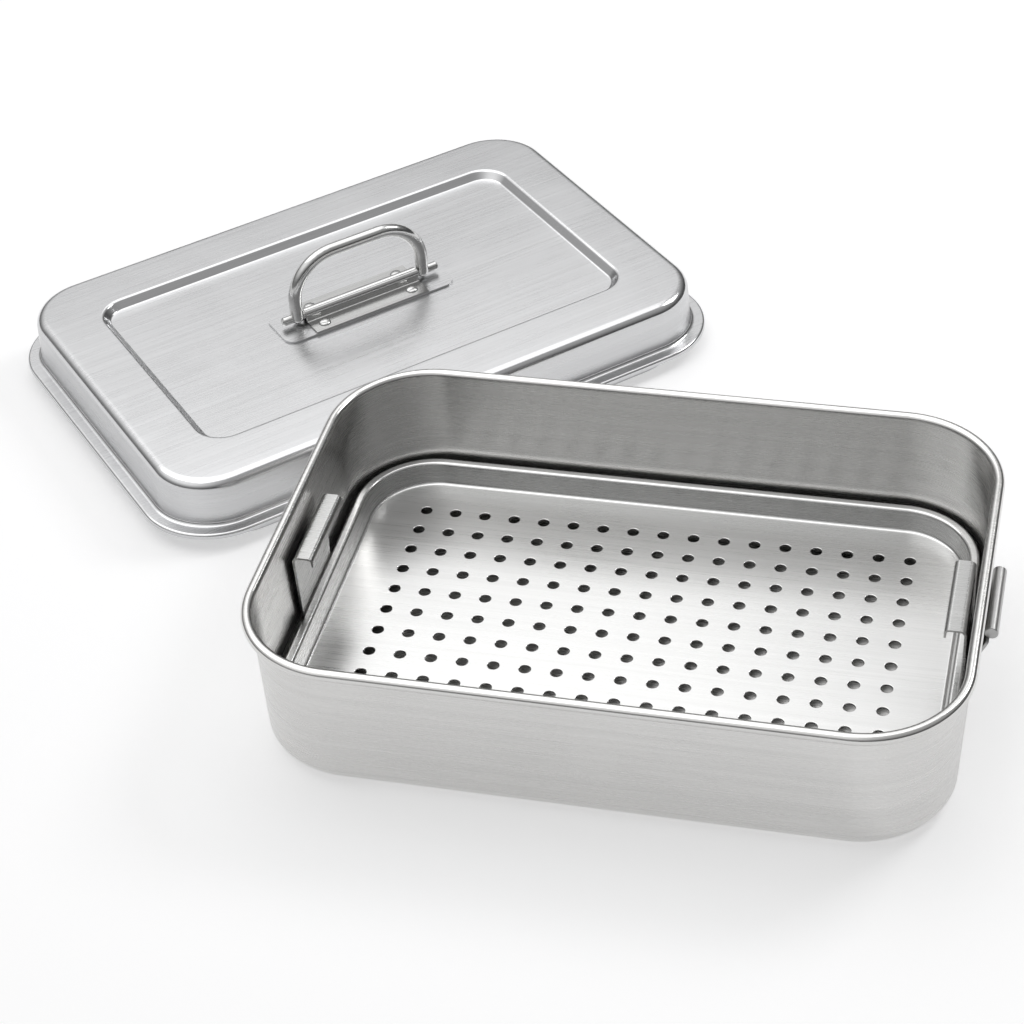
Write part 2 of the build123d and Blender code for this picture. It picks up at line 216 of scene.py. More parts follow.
def brushed_grain_group():
    """Fine lines left by the belt: along the walls, and along X on flat faces."""
    group = bpy.data.node_groups.new("brushed_grain", "ShaderNodeTree")
    add_sockets(
        group, "INPUT", Vector="Vector", Facing="Vector", Fineness="Float", Length="Float"
    )
    add_sockets(group, "OUTPUT", Grain="Float", Streaks="Float")
    inlet = group.nodes.new("NodeGroupInput")
    outlet = group.nodes.new("NodeGroupOutput")
    flat = new_node(
        group, "ShaderNodeMapRange", inputs={"From Min": 0.55, "From Max": 0.85}
    )
    link(group, lying_share(group, inlet.outputs["Facing"]), flat.inputs["Value"])
    parts = new_node(group, "ShaderNodeSeparateXYZ")
    link(group, inlet.outputs["Vector"], parts.inputs[0])

    def stretched(across):
        """The place, squeezed across the lines and stretched along them."""
        joined = new_node(group, "ShaderNodeCombineXYZ")
        for axis in "XYZ":
            scaled = new_node(group, "ShaderNodeMath", operation="MULTIPLY")
            link(group, parts.outputs[axis], scaled.inputs[0])
            source = "Fineness" if axis == across else "Length"
            link(group, inlet.outputs[source], scaled.inputs[1])
            link(group, scaled.outputs[0], joined.inputs[axis])
        return joined.outputs[0]

    fields = {}
    for across in "YZ":
        place = stretched(across)
        for label, scale, detail in (("Grain", 1.0, 4.0), ("Streaks", 0.13, 3.0)):
            noise = new_node(
                group, "ShaderNodeTexNoise",
                inputs={"Scale": scale, "Detail": detail, "Roughness": 0.62},
            )
            link(group, place, noise.inputs["Vector"])
            fields[across, label] = noise.outputs["Fac"]
    for label in ("Grain", "Streaks"):
        both = new_node(group, "ShaderNodeMix", data_type="FLOAT")
        link(group, flat.outputs[0], both.inputs[0])
        link(group, fields["Z", label], both.inputs[2])
        link(group, fields["Y", label], both.inputs[3])
        link(group, both.outputs[0], outlet.inputs[label])
    return group


def bend_highlight_and_polish_group():
    """Where the sheet is bent: the belt rides there, so it is rubbed smoother, and its
    colour gets a painted highlight there.
    """
    group = bpy.data.node_groups.new("bend_highlight_and_polish", "ShaderNodeTree")
    add_sockets(group, "INPUT", Facing="Vector", Vector="Vector")
    add_sockets(group, "OUTPUT", Bend="Float", Marks="Float")
    inlet = group.nodes.new("NodeGroupInput")
    outlet = group.nodes.new("NodeGroupOutput")
    share = lying_share(group, inlet.outputs["Facing"])
    both = new_node(group, "ShaderNodeMath", operation="MULTIPLY")
    # A bend is neither upright, where the share is near 0, nor level, near 1.
    for index, (start, end) in enumerate(((0.12, 0.4), (0.99, 0.9))):
        ramp = new_node(
            group, "ShaderNodeMapRange", inputs={"From Min": start, "From Max": end}
        )
        link(group, share, ramp.inputs["Value"])
        link(group, ramp.outputs[0], both.inputs[index])
    link(group, both.outputs[0], outlet.inputs["Bend"])
    marks = new_node(
        group, "ShaderNodeTexNoise",
        inputs={"Scale": 14.0, "Detail": 5.0, "Roughness": 0.6, "Distortion": 0.6},
    )
    link(group, inlet.outputs["Vector"], marks.inputs["Vector"])
    link(group, marks.outputs["Fac"], outlet.inputs["Marks"])
    return group


brushed_grain = brushed_grain_group()
bend_highlight_and_polish = bend_highlight_and_polish_group()


def steel(name, tone, roughness, grain, highlight_and_polish, relief,
          turn=0.0, centre=(0, 0, 0), fineness=2600.0):
    """Stainless steel with belt lines, smoother bends with a painted highlight in their
    colour, and faint handling marks.
    """
    finish = bpy.data.materials.new(name)
    finish.use_nodes = True
    tree = finish.node_tree
    shader = tree.nodes["Principled BSDF"]
    shader.inputs["Metallic"].default_value = 1.0
    place = new_node(tree, "ShaderNodeTexCoord")
    turned = new_node(tree, "ShaderNodeMapping", vector_type="TEXTURE")
    turned.inputs["Location"].default_value = centre
    turned.inputs["Rotation"].default_value = (0, 0, turn)
    link(tree, place.outputs["Object"], turned.inputs["Vector"])
    lines = new_node(
        tree, "ShaderNodeGroup", node_tree=brushed_grain,
        inputs={"Fineness": fineness, "Length": 18.0},
    )
    bends = new_node(tree, "ShaderNodeGroup", node_tree=bend_highlight_and_polish)
    for effect in (lines, bends):
        link(tree, turned.outputs[0], effect.inputs["Vector"])
        link(tree, place.outputs["Normal"], effect.inputs["Facing"])

    def spread(source, low, high, start=0.3, end=0.7):
        """A field brought to a range of values."""
        node = new_node(
            tree, "ShaderNodeMapRange",
            inputs={"From Min": start, "From Max": end, "To Min": low, "To Max": high},
        )
        link(tree, source, node.inputs["Value"])
        return node.outputs[0]

    def combine(operation, first, second):
        """Two fields joined by arithmetic."""
        node = new_node(tree, "ShaderNodeMath", operation=operation)
        link(tree, first, node.inputs[0])
        link(tree, second, node.inputs[1])
        return node.outputs[0]

    streak = grain * 0.7
    painted_highlight_gain = 0.12 * highlight_and_polish
    shade = combine(
        "MULTIPLY",
        spread(lines.outputs["Grain"], low=1 - grain, high=1 + grain),
        spread(lines.outputs["Streaks"], low=1 - streak, high=1 + streak),
    )
    handled = spread(bends.outputs["Marks"], low=0.97, high=1.02)
    # The bends' colour is lifted: a painted highlight. Their lower roughness further down
    # is real polish.
    painted_bend_highlight = spread(bends.outputs["Bend"], low=1.0, high=1 + painted_highlight_gain, start=0, end=1)
    shade = combine("MULTIPLY", shade, handled)
    shade = combine("MULTIPLY", shade, painted_bend_highlight)
    colour = new_node(tree, "ShaderNodeVectorMath", operation="SCALE")
    colour.inputs[0].default_value = tone
    link(tree, shade, colour.inputs["Scale"])
    link(tree, colour.outputs[0], shader.inputs["Base Color"])

    dullness = combine(
        "ADD",
        spread(lines.outputs["Grain"], low=roughness - 0.05, high=roughness + 0.05),
        spread(bends.outputs["Marks"], low=-0.02, high=0.03),
    )
    smoother = spread(
        bends.outputs["Bend"], low=0.0, high=highlight_and_polish * roughness, start=0, end=1
    )
    dullness = combine("SUBTRACT", dullness, smoother)
    link(tree, dullness, shader.inputs["Roughness"])
    bump = new_node(
        tree, "ShaderNodeBump", inputs={"Strength": relief, "Distance": 0.0002}
    )
    link(tree, lines.outputs["Grain"], bump.inputs["Height"])
    link(tree, bump.outputs[0], shader.inputs["Normal"])
    return finish


def dress(piece, body, finish, slot, *nodes):
    """Give a piece its finish, and put it in the place of nodes. Its slot is not used."""
    piece.data.materials.clear()
    piece.data.materials.append(finish)
    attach(piece, body)
    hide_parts(*nodes)


bead_radius = (RIM_BEAD - PAN_SHEET) / 2
bead_height = PAN_HEIGHT - RIM_BEAD / 2
bead_half_length = (PAN_LENGTH - RIM_BEAD) / 2
bead_half_width = (PAN_WIDTH - RIM_BEAD) / 2
pan_foot = -bead_radius - (bead_height - PAN_SHEET / 2) * DRAFT
pan_line = bent_line(
    [
        (pan_foot - BOTTOM_BEND - BOTTOM_FLAT, PAN_SHEET / 2),
        (pan_foot, PAN_SHEET / 2),
        (-bead_radius, bead_height),
    ],
    [BOTTOM_BEND], steps=14,
)
# The rim's curl goes over the top, outwards, down and back towards the wall.
for curl_step in range(1, CURL_STEPS + 1):
    curl = pi - CURL_SWEEP * curl_step / CURL_STEPS
    pan_line.append((
        bead_radius * cos(curl), bead_height + bead_radius * sin(curl),
        cos(curl), sin(curl),
    ))
pan_inside, pan_outside = sheet_faces(
    pan_line, PAN_SHEET, (bead_half_length, bead_half_width, PAN_CORNER - RIM_BEAD / 2)
)
pan_body = drawn_sheet("pan_body", pan_inside + pan_outside[::-1])
pan_steel = steel(
    "brushed_pan_steel", tone=(0.70, 0.695, 0.685), roughness=0.27, grain=0.05,
    highlight_and_polish=0.45, relief=0.05,
)
dress(pan_body, "pan", pan_steel, "brushed_pan_steel", "tray_pan")


# ---- End grips
# A matt stainless plate on each end wall, bent outwards at the top, carries a
# solid round bar that the fingers hold. Two rivets hold each plate.

GRIP_BAR_RADIUS = 2.9
GRIP_BAR_HALF = 20.0
GRIP_BAR_EDGE = 0.29
GRIP_BAR_REACH = 154.781
GRIP_BAR_HEIGHT = 52.881
GRIP_RIVET_HEIGHT = 29.0
GRIP_RIVET_SPACING = 26.0
SEAT_GAP = 0.05


def dress_copy(name, node, body, finish, slot):
    """Dress a merged copy of a machined piece, with smooth round faces."""
    mesh = bmesh.new()
    mesh.from_mesh(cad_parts[node].data)
    bmesh.ops.remove_doubles(mesh, verts=mesh.verts, dist=0.001 * MM)
    piece = finish_piece(name, mesh, sharp_angle=32, merge=False)
    dress(piece, body, finish, slot, node)


grip_steel = steel(
    "matte_grip_steel", tone=(0.50, 0.50, 0.495), roughness=0.40, grain=0.05,
    highlight_and_polish=0.2, relief=0.03, fineness=1500.0,
)
for side in ("left", "right"):
    node = f"{side}_grip_plate"
    dress_copy(f"{node}_matte", node, "pan", grip_steel, "matte_grip_steel")


def lathe(profile, steps=24):
    """A turned solid about Z from (radius, height) points in millimetres."""
    mesh = bmesh.new()
    rings = []
    for radius, height in profile:
        if radius == 0:
            rings.append([mesh.verts.new((0, 0, height * MM))])
            continue
        ring = []
        for step in range(steps):
            angle = 2 * pi * step / steps
            x, y = radius * cos(angle), radius * sin(angle)
            ring.append(mesh.verts.new((x * MM, y * MM, height * MM)))
        rings.append(ring)
    for low, high in zip(rings, rings[1:]):
        for step in range(steps):
            after = (step + 1) % steps
            if len(low) == 1:
                mesh.faces.new((low[0], high[after], high[step]))
            elif len(high) == 1:
                mesh.faces.new((low[step], low[after], high[0]))
            else:
                mesh.faces.new((low[step], low[after], high[after], high[step]))
    return mesh


grip_bar_face = GRIP_BAR_RADIUS - GRIP_BAR_EDGE
grip_bar_profile = [
    (0, -GRIP_BAR_HALF),
    (grip_bar_face, -GRIP_BAR_HALF),
    (GRIP_BAR_RADIUS, -GRIP_BAR_HALF + GRIP_BAR_EDGE),
    (GRIP_BAR_RADIUS, GRIP_BAR_HALF - GRIP_BAR_EDGE),
    (grip_bar_face, GRIP_BAR_HALF),
    (0, GRIP_BAR_HALF),
]
for side, sign in (("left", -1), ("right", 1)):
    node = f"{side}_grip_bar"
    turned_bar = lathe(grip_bar_profile, steps=40)
    spot = Vector((sign * GRIP_BAR_REACH, 0, GRIP_BAR_HEIGHT)) * MM
    turned_bar.transform(Matrix.Translation(spot) @ Matrix.Rotation(pi / 2, 4, "X"))
    bar = finish_piece(f"{node}_matte", turned_bar)
    dress(bar, "pan", grip_steel, "matte_grip_steel", node)


def rivet_profile(shank, grip, head, head_height, tail, tail_height):
    """Half outline of a set rivet: tail below 0, domed head above the grip."""
    edge = 0.25
    dome_steps = 8
    profile = [
        (0, -tail_height), (tail / 2 - edge, -tail_height),
        (tail / 2, -tail_height + edge), (tail / 2, 0),
        (shank / 2, 0), (shank / 2, grip), (head / 2, grip),
    ]
    for step in range(1, dome_steps):
        angle = pi / 2 * step / dome_steps
        profile.append((head / 2 * cos(angle), grip + head_height * sin(angle)))
    profile.append((0, grip + head_height))
    return profile


def rivet_tree():
    """Sets one rivet on every point, turned along the point's direction."""
    tree = bpy.data.node_groups.new("set_rivets", "GeometryNodeTree")
    add_sockets(tree, "INPUT", Points="Geometry", Rivet="Object", Finish="Material")
    add_sockets(tree, "OUTPUT", Rivets="Geometry")
    inlet = tree.nodes.new("NodeGroupInput")
    outlet = tree.nodes.new("NodeGroupOutput")
    outward = new_node(tree, "GeometryNodeInputNamedAttribute", data_type="FLOAT_VECTOR")
    outward.inputs["Name"].default_value = "outward"
    turn = new_node(tree, "FunctionNodeAlignRotationToVector", axis="Z")
    link(tree, outward.outputs["Attribute"], turn.inputs["Vector"])
    template = new_node(tree, "GeometryNodeObjectInfo")
    link(tree, inlet.outputs["Rivet"], template.inputs["Object"])
    placed = new_node(tree, "GeometryNodeInstanceOnPoints")
    link(tree, inlet.outputs["Points"], placed.inputs["Points"])
    link(tree, template.outputs["Geometry"], placed.inputs["Instance"])
    link(tree, turn.outputs[0], placed.inputs["Rotation"])
    real = new_node(tree, "GeometryNodeRealizeInstances")
    link(tree, placed.outputs[0], real.inputs[0])
    dressed = new_node(tree, "GeometryNodeSetMaterial")
    link(tree, real.outputs[0], dressed.inputs["Geometry"])
    link(tree, inlet.outputs["Finish"], dressed.inputs["Material"])
    link(tree, dressed.outputs[0], outlet.inputs[0])
    return tree


set_rivets = rivet_tree()


def grow(name, points, tree, values, outward=()):
    """Run a geometry tree on a set of points and keep the plain mesh."""
    data = bpy.data.meshes.new(name)
    data.from_pydata([tuple(point) for point in points], [], [])
    if outward:
        field = data.attributes.new("outward", "FLOAT_VECTOR", "POINT")
        for item, direction in zip(field.data, outward):
            item.vector = direction
    carrier = bpy.data.objects.new(name, data)
    bpy.context.scene.collection.objects.link(carrier)
    modifier = carrier.modifiers.new(name, "NODES")
    modifier.node_group = tree
    for item in tree.interface.items_tree:
        if item.in_out == "INPUT" and item.name in values:
            modifier[item.identifier] = values[item.name]
    bpy.context.view_layer.update()
    graph = bpy.context.evaluated_depsgraph_get()
    grown = bpy.data.meshes.new_from_object(carrier.evaluated_get(graph))
    bpy.data.objects.remove(carrier)
    return grown


def rivet_row(name, profile, spots, finish):
    """Set rivets at (place in millimetres, direction) spots, as one piece."""
    template = finish_piece(f"{name}_pattern", lathe(profile), sharp_angle=50)
    data = grow(
        name, [Vector(place) * MM for place, _ in spots], set_rivets,
        {"Rivet": template, "Finish": finish}, [direction for _, direction in spots],
    )
    bpy.data.objects.remove(template)
    mesh = bmesh.new()
    mesh.from_mesh(data)
    return finish_piece(name, mesh, sharp_angle=50, merge=False)


def pan_inner_end(height):
    """How far the inside of the pan's end wall stands from the middle."""
    return bead_half_length - bead_radius - (bead_height - height) * DRAFT - PAN_SHEET / 2


rivet_steel = steel(
    "rivet_steel", tone=(0.60, 0.60, 0.595), roughness=0.26, grain=0.03,
    highlight_and_polish=0.2, relief=0.02, fineness=1200.0,
)
grip_rivet = rivet_profile(
    shank=3.0, grip=2.25, head=6.0, head_height=1.3, tail=5.4, tail_height=0.6
)
grip_rivet_reach = pan_inner_end(GRIP_RIVET_HEIGHT) - SEAT_GAP
lean = Vector((1, 0, -DRAFT)).normalized()
for side, sign in (("left", -1), ("right", 1)):
    spots = []
    for y in (-GRIP_RIVET_SPACING / 2, GRIP_RIVET_SPACING / 2):
        place = (sign * grip_rivet_reach, sign * y, GRIP_RIVET_HEIGHT)
        spots.append((place, (sign * lean.x, 0, lean.z)))
    rivets = rivet_row(f"{side}_grip_rivet_pair", grip_rivet, spots, rivet_steel)
    dress(rivets, "pan", rivet_steel, "rivet_steel", f"{side}_grip_rivets")


# ---- Perforated insert
# One pressed stainless sheet: a short hem, a flat rim, a sloped wall and a
# plate with punched drain holes, each hole's rounded edge given a painted highlight.

INSERT_SHEET = 0.9
INSERT_GAP = 2.7
INSERT_CORNER = 36.0
INSERT_HEIGHT = 21.0
INSERT_HEM = 8.5
RIM_BEND = 1.3
RIM_INSET = 4.2
WALL_FOOT_INSET = 6.0
PLATE_INSET = 12.5
PLATE_BEND = 2.2
PLATE_TOP = 10.0
HOLE_PITCH = 14.1
HOLE_RADIUS = 2.6
HOLE_COLUMNS = 17
HOLE_ROWS = 11
# The punched edge, as how far it stands back from the hole and how deep it is.
PUNCHED_EDGE = ((0.32, 0.0), (0.2, 0.04), (0.06, 0.13), (0.0, 0.3))
BURR_EDGE = 0.05


def hole_cell():
    """One punched hole with its square of sheet, both faces and rounded edge."""
    mesh = bmesh.new()
    steps = 24
    angles = [2 * pi * step / steps for step in range(steps)]

    def ring(reaches, z):
        return [
            mesh.verts.new(Vector((reach * cos(angle), reach * sin(angle), z)) * MM)
            for reach, angle in zip(reaches, angles)
        ]

    def square(z):
        half = HOLE_PITCH / 2
        return ring([half / max(abs(cos(angle)), abs(sin(angle))) for angle in angles], z)

    def circle(radius, z):
        return ring([radius] * steps, z)

    rings = [square(0)]
    rings += [circle(HOLE_RADIUS + back, -depth) for back, depth in PUNCHED_EDGE]
    rings += [
        circle(HOLE_RADIUS, BURR_EDGE - INSERT_SHEET),
        circle(HOLE_RADIUS + BURR_EDGE, -INSERT_SHEET),
        square(-INSERT_SHEET),
    ]
    for low, high in zip(rings, rings[1:]):
        for step in range(steps):
            after = (step + 1) % steps
            mesh.faces.new((low[step], high[step], high[after], low[after]))
    return as_object("hole_cell", mesh)


def perforation_tree():
    """Lays punched cells on a grid and merges them into one sheet."""
    tree = bpy.data.node_groups.new("perforated_sheet", "GeometryNodeTree")
    add_sockets(
        tree, "INPUT", Start="Geometry", Cell="Object", Columns="Int", Rows="Int",
        Pitch="Float", Height="Float", Finish="Material",
    )
    add_sockets(tree, "OUTPUT", Sheet="Geometry")
    inlet = tree.nodes.new("NodeGroupInput")
    outlet = tree.nodes.new("NodeGroupOutput")
    grid = new_node(tree, "GeometryNodeMeshGrid")
    for axis, count in (("X", "Columns"), ("Y", "Rows")):
        gaps = new_node(tree, "ShaderNodeMath", operation="SUBTRACT", inputs={1: 1.0})
        link(tree, inlet.outputs[count], gaps.inputs[0])
        across = new_node(tree, "ShaderNodeMath", operation="MULTIPLY")
        link(tree, gaps.outputs[0], across.inputs[0])
        link(tree, inlet.outputs["Pitch"], across.inputs[1])
        link(tree, across.outputs[0], grid.inputs[f"Size {axis}"])
        link(tree, inlet.outputs[count], grid.inputs[f"Vertices {axis}"])
    template = new_node(tree, "GeometryNodeObjectInfo")
    link(tree, inlet.outputs["Cell"], template.inputs["Object"])
    placed = new_node(tree, "GeometryNodeInstanceOnPoints")
    link(tree, grid.outputs["Mesh"], placed.inputs["Points"])
    link(tree, template.outputs["Geometry"], placed.inputs["Instance"])
    real = new_node(tree, "GeometryNodeRealizeInstances")
    link(tree, placed.outputs[0], real.inputs[0])
    merged = new_node(tree, "GeometryNodeMergeByDistance", inputs={"Distance": 0.01 * MM})
    link(tree, real.outputs[0], merged.inputs["Geometry"])
    lift = new_node(tree, "ShaderNodeCombineXYZ")
    link(tree, inlet.outputs["Height"], lift.inputs["Z"])
    raised = new_node(tree, "GeometryNodeTransform")
    link(tree, lift.outputs[0], raised.inputs["Translation"])
    link(tree, merged.outputs[0], raised.inputs["Geometry"])
    dressed = new_node(tree, "GeometryNodeSetMaterial")
    link(tree, raised.outputs[0], dressed.inputs["Geometry"])
    link(tree, inlet.outputs["Finish"], dressed.inputs["Material"])
    link(tree, dressed.outputs[0], outlet.inputs[0])
    return tree


def join_border(name, plate, contours, face_heights):
    """The pressed border around a plate, and the flat sheet between the two."""
    mesh = bmesh.new()
    skin(mesh, contours)
    mesh.from_mesh(plate)
    bmesh.ops.remove_doubles(mesh, verts=mesh.verts, dist=0.005 * MM)
    for height in face_heights:
        open_edges = [
            edge for edge in mesh.edges
            if len(edge.link_faces) == 1
            and all(abs(vert.co.z - height * MM) < 0.02 * MM for vert in edge.verts)
        ]
        bmesh.ops.triangle_fill(mesh, edges=open_edges, use_beauty=True, normal=(0, 0, 1))
    return finish_piece(name, mesh, sharp_angle=42)


insert_steel = steel(
    "satin_insert_steel", tone=(0.64, 0.64, 0.635), roughness=0.29, grain=0.05,
    highlight_and_polish=0.5, relief=0.04,
)
insert_half_length = pan_inner_end(INSERT_HEIGHT) - INSERT_GAP
insert_half_width = insert_half_length - bead_half_length + bead_half_width
rim_middle = INSERT_HEIGHT - INSERT_SHEET / 2
plate_middle = PLATE_TOP - INSERT_SHEET / 2
insert_line = bent_line(
    [
        (-INSERT_SHEET / 2, INSERT_HEIGHT - INSERT_HEM),
        (-INSERT_SHEET / 2, rim_middle),
        (-RIM_INSET, rim_middle),
        (-WALL_FOOT_INSET, plate_middle),
        (-PLATE_INSET, plate_middle),
    ],
    [RIM_BEND, RIM_BEND, PLATE_BEND], steps=8,
)
border_out, border_in = sheet_faces(
    insert_line, INSERT_SHEET, (insert_half_length, insert_half_width, INSERT_CORNER)
)
cell = hole_cell()
perforated = grow(
    "perforated_plate", [(0, 0, 0)], perforation_tree(),
    {
        "Cell": cell, "Columns": HOLE_COLUMNS, "Rows": HOLE_ROWS,
        "Pitch": HOLE_PITCH * MM, "Height": PLATE_TOP * MM, "Finish": insert_steel,
    },
)
bpy.data.objects.remove(cell)
insert_sheet = join_border(
    "perforated_insert_sheet", perforated, border_out[::-1] + border_in,
    (PLATE_TOP, PLATE_TOP - INSERT_SHEET),
)
dress(insert_sheet, "insert", insert_steel, "satin_insert_steel", "perforated_insert")
dress_copy("insert_cup_feet", "insert_feet", "insert", insert_steel, "satin_insert_steel")


# ---- Lifting lugs
# A tall tab on each end of the insert, riveted to the hem, with its top bent
# inwards and its edge turned down, so that fingers can lift the insert.

LUG_RIVET_SPACING = 20.0

# The lugs' steel is the insert's steel made darker: painted shade for where they stand
# inside the pan.
shaded_lug_steel = steel(
    "satin_insert_steel_shaded", tone=(0.50, 0.50, 0.495), roughness=0.27, grain=0.05,
    highlight_and_polish=0.3, relief=0.03,
)
lug_rivet = rivet_profile(
    shank=2.4, grip=2.05, head=4.4, head_height=0.5, tail=4.4, tail_height=0.5
)
lug_rivet_reach = insert_half_length - INSERT_SHEET - SEAT_GAP
for side, sign in (("left", -1), ("right", 1)):
    node = f"{side}_lifting_lug"
    dress_copy(f"{node}_tab", node, "insert", shaded_lug_steel, "satin_insert_steel")
    spots = []
    for y in (-LUG_RIVET_SPACING / 2, LUG_RIVET_SPACING / 2):
        place = (sign * lug_rivet_reach, y, INSERT_HEIGHT - INSERT_HEM / 2)
        spots.append((place, (sign, 0, 0)))
    rivets = rivet_row(f"{side}_lug_rivet_pair", lug_rivet, spots, rivet_steel)
    dress(rivets, "insert", rivet_steel, "rivet_steel", f"{side}_lug_rivets")


# ---- Lid
# One drawn stainless sheet: turned edge, flange, wall, a smoother shoulder with
# a painted highlight and a sunk panel, brushed along its length. An angle ring is
# welded under the flange, and the lid lies on it.

LID_LENGTH = 311.0
LID_WIDTH = 214.0
LID_CORNER = 38.0
LID_SHEET = 0.9
LID_DEPTH = 24.3
FLANGE_UNDERSIDE = 8.82
EDGE_DEPTH = 2.2
EDGE_BEND = 0.9
FLANGE_INSET = 7.6
FLANGE_BEND = 2.6
SHOULDER_INSET = 8.8
SHOULDER_BEND = 4.8
TOP_INSET = 19.6
RECESS_LENGTH = 236.0
RECESS_WIDTH = 138.0
RECESS_CORNER = 15.0
RECESS_DEPTH = 4.0
RECESS_SLOPE = 3.4
RECESS_BEND = 1.8
RECESS_BORDER = 5.0
LID_TURN = radians(44.0)
LID_CENTRE = Vector((-181.401, 204.664, 0))

lid_place = Matrix.Translation(LID_CENTRE) @ Matrix.Rotation(LID_TURN, 4, "Z")
flange_middle = FLANGE_UNDERSIDE + LID_SHEET / 2
top_middle = FLANGE_UNDERSIDE + LID_SHEET + LID_DEPTH - LID_SHEET / 2
skirt_line = bent_line(
    [
        (-LID_SHEET / 2, flange_middle - EDGE_DEPTH),
        (-LID_SHEET / 2, flange_middle),
        (-FLANGE_INSET, flange_middle),
        (-SHOULDER_INSET, top_middle),
        (-TOP_INSET, top_middle),
    ],
    [EDGE_BEND, FLANGE_BEND, SHOULDER_BEND], steps=10,
)
recess_line = bent_line(
    [
        (RECESS_BORDER, top_middle),
        (0, top_middle),
        (-RECESS_SLOPE, top_middle - RECESS_DEPTH),
        (-RECESS_SLOPE - RECESS_BORDER, top_middle - RECESS_DEPTH),
    ],
    [RECESS_BEND, RECESS_BEND], steps=8,
)
skirt_in, skirt_out = sheet_faces(
    skirt_line, LID_SHEET, (LID_LENGTH / 2, LID_WIDTH / 2, LID_CORNER)
)
slope_in, slope_out = sheet_faces(
    recess_line, LID_SHEET, (RECESS_LENGTH / 2, RECESS_WIDTH / 2, RECESS_CORNER)
)
lid_cover = drawn_sheet(
    "lid_cover", (skirt_out + slope_out)[::-1] + skirt_in + slope_in, lid_place
)
lid_steel = steel(
    "satin_lid_steel", tone=(0.635, 0.637, 0.644), roughness=0.29, grain=0.05,
    highlight_and_polish=0.55, relief=0.04, turn=LID_TURN, centre=LID_CENTRE * MM,
)
dress(lid_cover, "lid", lid_steel, "satin_lid_steel", "lid_shell")
dress_copy("lid_ring", "lid_locating_ring", "lid", lid_steel, "satin_lid_steel")


# ---- Lid handle
# A thin base plate and a strap bent over the pivot, riveted through the lid.
# The bail is a polished round bar bent to an arch that folds on the pivot.

STRAP_FOOT_EDGE = 14.0
STRAP_SHEET = 0.9
PIVOT_RADIUS = 2.2
PIVOT_CLEARANCE = 0.08
HANDLE_RIVET_SPACING = 50.0

handle_steel = steel(
    "polished_handle_steel", tone=(0.62, 0.62, 0.615), roughness=0.19, grain=0.05,
    highlight_and_polish=0.2, relief=0.03, turn=LID_TURN, centre=LID_CENTRE * MM, fineness=1800.0,
)
dress_copy("handle_base_sheet", "lid_handle_base", "lid", lid_steel, "satin_lid_steel")
dress_copy("handle_strap", "lid_handle_clip", "lid", handle_steel, "polished_handle_steel")

handle_rivet = rivet_profile(
    shank=3.0, grip=3.0, head=6.4, head_height=1.4, tail=6.4, tail_height=0.9
)
# The rivets stand halfway between the strap's foot edge and its wall.
rivet_reach = (STRAP_FOOT_EDGE + PIVOT_RADIUS + PIVOT_CLEARANCE + STRAP_SHEET / 2) / 2
rivet_seat = top_middle - RECESS_DEPTH - LID_SHEET / 2 - SEAT_GAP
spots = []
for x in (-HANDLE_RIVET_SPACING / 2, HANDLE_RIVET_SPACING / 2):
    for y in (-rivet_reach, rivet_reach):
        spots.append((tuple(lid_place @ Vector((x, y, rivet_seat))), (0, 0, 1)))
rivets = rivet_row("handle_rivet_set", handle_rivet, spots, rivet_steel)
dress(rivets, "lid", rivet_steel, "rivet_steel", "lid_handle_rivets")
for name, node in (("bail_bar", "lid_bail"), ("bail_pivot_rod", "bail_pivot")):
    dress_copy(name, node, "bail", handle_steel, "polished_handle_steel")


# ---- Floor, light and camera
# A plain white floor under a large soft lamp, with a smaller one behind. In the
# metal the room is bright above and grey low down, which shows the bends. The
# camera looks down from the front, as it did for the photograph.

def floor():
    """The white floor, with a glow of its own to the camera and in the metal."""
    mesh = bmesh.new()
    bmesh.ops.create_grid(mesh, x_segments=1, y_segments=1, size=6.0)
    table = as_object("table", mesh)
    # A hair under the pan, so that the two share no plane.
    table.location.z = -0.2 * MM
    paint = bpy.data.materials.new("white_table")
    paint.use_nodes = True
    tree = paint.node_tree
    shader = tree.nodes["Principled BSDF"]
    shader.inputs["Base Color"].default_value = (0.86, 0.86, 0.865, 1)
    shader.inputs["Roughness"].default_value = 0.9
    shader.inputs["Specular IOR Level"].default_value = 0.2
    shader.inputs["Emission Color"].default_value = (1, 1, 1, 1)
    path = new_node(tree, "ShaderNodeLightPath")
    glow = new_node(tree, "ShaderNodeMath", operation="ADD")
    for index, (ray, strength) in enumerate((("Camera", 0.42), ("Glossy", 0.37))):
        share = new_node(
            tree, "ShaderNodeMath", operation="MULTIPLY", inputs={1: strength}
        )
        link(tree, path.outputs[f"Is {ray} Ray"], share.inputs[0])
        link(tree, share.outputs[0], glow.inputs[index])
    link(tree, glow.outputs[0], shader.inputs["Emission Strength"])
    table.data.materials.append(paint)


floor()


